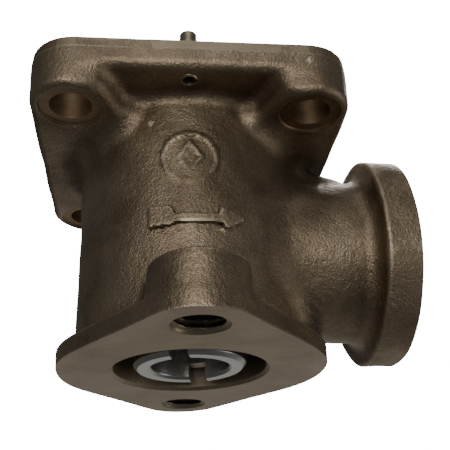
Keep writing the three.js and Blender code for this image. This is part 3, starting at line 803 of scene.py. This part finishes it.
# ---- Bimetal discs -----------------------------------------------------------------------------
# Eight stamped discs of two bonded metals, loose on the stem over a stainless base washer. The seam
# between the metals shows round their rims.
bimetal, tree, shader = surface("bimetal", Metallic=1.0, Roughness=0.34)
scored = shared(tree, marks, Rings=0.1, Strokes=0.4)
spot = add(tree, "ShaderNodeTexCoord").outputs["Object"]
level = add(tree, "ShaderNodeSeparateXYZ", {"Vector": spot}).outputs["Z"]
level = figure(tree, "SUBTRACT", level, body_low.z + STACK["low"] * MM)
level = figure(tree, "DIVIDE", level, STACK["thick"] * MM)
upper = figure(tree, "GREATER_THAN", figure(tree, "FRACT", level), 0.5)
pale = ramp(tree, scored.outputs["Tone"], [(0.3, (0.50, 0.49, 0.47)), (0.7, (0.64, 0.63, 0.60))])
warm = ramp(tree, scored.outputs["Tone"], [(0.3, (0.40, 0.34, 0.26)), (0.7, (0.55, 0.47, 0.37))])
dressed(tree, shader, painted(tree, upper, pale, warm), scored.outputs["Normal"])

washer("base_washer", STACK["hole"], STACK["r"], SLEEVE["top"], STACK["low"], "housing",
       stainless)
for number in range(1, STACK["count"] + 1):
    low_z = STACK["low"] + (number - 1) * STACK["thick"]
    washer("bimetal_disc_%d" % number, STACK["hole"], STACK["r"], low_z, low_z + STACK["thick"],
           "disc_%d" % number, bimetal, 0.1)

# ---- Retaining ring ----------------------------------------------------------------------------
# Ring of spring steel, gapped at the front and sprung into the upper chamber's groove, where it
# holds the strainer's rim down.
RING = {"inner": 17.2, "outer": 20.95, "low": 48, "thick": 1.4, "gap": 7}
wall = [(RING["inner"], RING["low"]), (RING["outer"], RING["low"]),
        (RING["outer"], RING["low"] + RING["thick"]), (RING["inner"], RING["low"] + RING["thick"])]
ring = ringed("ring", eased(wall, 0.15, True), FINE)
combined(ring, [block((-RING["gap"] / 2, -25, RING["low"] - 1), (RING["gap"] / 2, 0, RING["low"] + 3))])
fitted(ring, "retaining_ring", "housing", spring_steel)

# ---- Strainer screen ---------------------------------------------------------------------------
# Drawn stainless cup over the stack, perforated on its side and crown. Its rim stands on the
# divider, under the retaining ring.
SCREEN = {"r": 15.5, "wall": 0.6, "rim_r": 19.4, "rim": 1, "foot": 47, "top": 65.3, "hole": 0.85}
foot, inner = SCREEN["foot"], SCREEN["r"] - SCREEN["wall"]
crown = SCREEN["top"] - SCREEN["wall"]
outside = [(inner, foot), (SCREEN["rim_r"], foot), (SCREEN["rim_r"], foot + SCREEN["rim"]),
           (SCREEN["r"], foot + SCREEN["rim"]), (SCREEN["r"], SCREEN["top"]), (0, SCREEN["top"])]
rings = eased(outside, 0.4)[:-1] + [(0, SCREEN["top"], 0)]
rings = [(0, crown, 0), (inner - 0.8, crown, 0), (inner - 0.2, crown - 0.2, 0),
         (inner, crown - 0.8, 0)] + rings
screen = ringed("screen", rings, FINE)

perforate = bpy.data.node_groups.new("perforate", "GeometryNodeTree")
for label, kind, value in (("Geometry", "NodeSocketGeometry", None), ("Hole radius", "NodeSocketFloat", 0.85),
                           ("Around", "NodeSocketInt", 34), ("Rows", "NodeSocketInt", 6),
                           ("Across", "NodeSocketInt", 10), ("Material", "NodeSocketMaterial", None)):
    socket = perforate.interface.new_socket(label, in_out="INPUT", socket_type=kind)
    if value is not None:
        socket.default_value = value
perforate.interface.new_socket("Geometry", in_out="OUTPUT", socket_type="NodeSocketGeometry")
given, gives = perforate.nodes.new("NodeGroupInput"), perforate.nodes.new("NodeGroupOutput")
hole_r = figure(perforate, "MULTIPLY", given.outputs["Hole radius"], MM)
drill = add(perforate, "GeometryNodeMeshCylinder", {"Vertices": 14, "Radius": hole_r,
                                                    "Depth": 3 * MM})
wall_low, wall_high = foot + 3.4, SCREEN["top"] - 2.8
drum = add(perforate, "GeometryNodeMeshCylinder", {"Vertices": given.outputs["Around"],
                                                   "Side Segments": given.outputs["Rows"],
                                                   "Radius": SCREEN["r"] * MM,
                                                   "Depth": (wall_high - wall_low) * MM},
           fill_type="NONE")
drum = add(perforate, "GeometryNodeTransform", {"Geometry": drum.outputs["Mesh"],
                                                "Translation": (0, 0, (wall_low + wall_high) / 2 * MM)})
at = add(perforate, "GeometryNodeInputPosition")
parts = add(perforate, "ShaderNodeSeparateXYZ", {"Vector": at.outputs[0]})
outward = add(perforate, "ShaderNodeCombineXYZ", {"X": parts.outputs["X"], "Y": parts.outputs["Y"]})
facing = add(perforate, "FunctionNodeAlignRotationToVector", {"Vector": outward.outputs[0]}, axis="Z")
side_holes = add(perforate, "GeometryNodeInstanceOnPoints", {"Points": drum.outputs[0],
                                                             "Instance": drill.outputs["Mesh"],
                                                             "Rotation": facing.outputs[0]})
sheet = add(perforate, "GeometryNodeMeshGrid", {"Size X": 26 * MM, "Size Y": 26 * MM,
                                                "Vertices X": given.outputs["Across"],
                                                "Vertices Y": given.outputs["Across"]})
far = add(perforate, "ShaderNodeVectorMath", {0: at.outputs[0]}, operation="LENGTH")
beyond = figure(perforate, "GREATER_THAN", far.outputs["Value"], 13.2 * MM)
disc = add(perforate, "GeometryNodeDeleteGeometry", {"Geometry": sheet.outputs["Mesh"],
                                                     "Selection": beyond})
disc = add(perforate, "GeometryNodeTransform", {"Geometry": disc.outputs[0],
                                                "Translation": (0, 0, (SCREEN["top"] - 0.3) * MM)})
top_holes = add(perforate, "GeometryNodeInstanceOnPoints", {"Points": disc.outputs[0],
                                                            "Instance": drill.outputs["Mesh"]})
drills = add(perforate, "GeometryNodeJoinGeometry")
perforate.links.new(side_holes.outputs[0], drills.inputs[0])
perforate.links.new(top_holes.outputs[0], drills.inputs[0])
drills = add(perforate, "GeometryNodeTransform", {"Geometry": drills.outputs[0],
                                                  "Translation": (axis_x, 0, body_low.z)})
drills = add(perforate, "GeometryNodeRealizeInstances", {"Geometry": drills.outputs[0]})
cup = add(perforate, "GeometryNodeMeshBoolean", {"Mesh 1": given.outputs["Geometry"],
                                                 "Mesh 2": drills.outputs[0]},
          operation="DIFFERENCE", solver="MANIFOLD")
cup = add(perforate, "GeometryNodeRealizeInstances", {"Geometry": cup.outputs[0]})
cup = add(perforate, "GeometryNodeSetMaterial", {"Geometry": cup.outputs[0],
                                                 "Material": given.outputs["Material"]})
perforate.links.new(cup.outputs[0], gives.inputs[0])

screen.data.materials.append(stainless)
change = screen.modifiers.new("perforate", "NODES")
change.node_group = perforate
sockets = {item.name: item.identifier for item in perforate.interface.items_tree if item.in_out == "INPUT"}
change[sockets["Hole radius"]] = SCREEN["hole"]
change[sockets["Material"]] = stainless
solid = bpy.data.meshes.new_from_object(screen.evaluated_get(bpy.context.evaluated_depsgraph_get()))
screen.modifiers.remove(change)
screen.data = solid
fitted(screen, "strainer_screen", "housing", stainless)

# ---- Studio ------------------------------------------------------------------------------------
# White surroundings, five soft square lamps, and a pale floor just under the trap that is seen only
# from above and fades out with distance.
world = bpy.data.worlds.new("studio")
scene.world = world
world.use_nodes = True
tree = world.node_tree
path = add(tree, "ShaderNodeLightPath")
toward = add(tree, "ShaderNodeSeparateXYZ", {"Vector": add(tree, "ShaderNodeTexCoord").outputs["Generated"]})
rise = add(tree, "ShaderNodeMapRange", {"Value": toward.outputs["Z"], "From Min": -1.0, "From Max": 1.0,
                                        "To Min": 0.07, "To Max": 0.09})
backdrop = tree.nodes["Background"]
backdrop.inputs["Color"].default_value = (1, 1, 1, 1)
amount = add(tree, "ShaderNodeMix", {0: path.outputs["Is Camera Ray"], 2: rise.outputs["Result"], 3: 18.0},
             data_type="FLOAT")
tree.links.new(amount.outputs[0], backdrop.inputs["Strength"])


LAMP = {"aim": 34 * MM, "away": 0.6}


def lamp(name, azimuth, elevation, size, power, colour):
    """A square area lamp; azimuth is from the front, positive towards the outlet."""
    a, e = math.radians(azimuth), math.radians(elevation)
    goal = Vector((axis_x, 0, LAMP["aim"]))
    way = Vector((math.sin(a) * math.cos(e), -math.cos(a) * math.cos(e), math.sin(e)))
    data = bpy.data.lights.new(name, "AREA")
    data.size = size
    data.energy = power
    data.color = colour
    light = bpy.data.objects.new(name, data)
    light.location = goal + way * LAMP["away"]
    light.rotation_euler = way.to_track_quat("Z", "Y").to_euler()
    scene.collection.objects.link(light)


lamp("front", -10, 0, 0.3, 1.5, (1.0, 0.985, 0.96))
lamp("behind_right", 150, 40, 0.3, 2.4, (1.0, 0.99, 0.97))
lamp("above", 0, 65, 0.3, 0.55, (1.0, 0.99, 0.98))
lamp("right", 80, -20, 0.3, 0.45, (1.0, 0.99, 0.97))
lamp("behind_low", 166, -30, 0.75, 0.48, (1.0, 0.97, 0.93))

reach, below = 900, -0.3
floor = mesh_object("floor", [(-reach, -reach, below), (reach, -reach, below), (reach, reach, below),
                              (-reach, reach, below)], [[0, 1, 2, 3]])
paper, tree, shader = surface("paper", Roughness=0.9)
shader.inputs["Base Color"].default_value = (0.86, 0.86, 0.85, 1)
shape = add(tree, "ShaderNodeNewGeometry")
path = add(tree, "ShaderNodeLightPath")
spot = add(tree, "ShaderNodeTexCoord").outputs["Object"]
far = add(tree, "ShaderNodeVectorMath", {0: spot}, operation="LENGTH")
fade = add(tree, "ShaderNodeMapRange", {"Value": far.outputs["Value"], "From Min": 0.09, "From Max": 0.3,
                                        "To Min": 1.0, "To Max": 0.0}, interpolation_type="SMOOTHSTEP")
seen = figure(tree, "SUBTRACT", 1.0, shape.outputs["Backfacing"])
seen = figure(tree, "MULTIPLY", seen, path.outputs["Is Camera Ray"])
seen = figure(tree, "MULTIPLY", seen, fade.outputs["Result"])
clear = add(tree, "ShaderNodeBsdfTransparent")
both = add(tree, "ShaderNodeMixShader", {0: seen, 1: clear.outputs[0], 2: shader.outputs[0]})
tree.links.new(both.outputs[0], tree.nodes["Material Output"].inputs["Surface"])
floor.data.materials.append(paper)
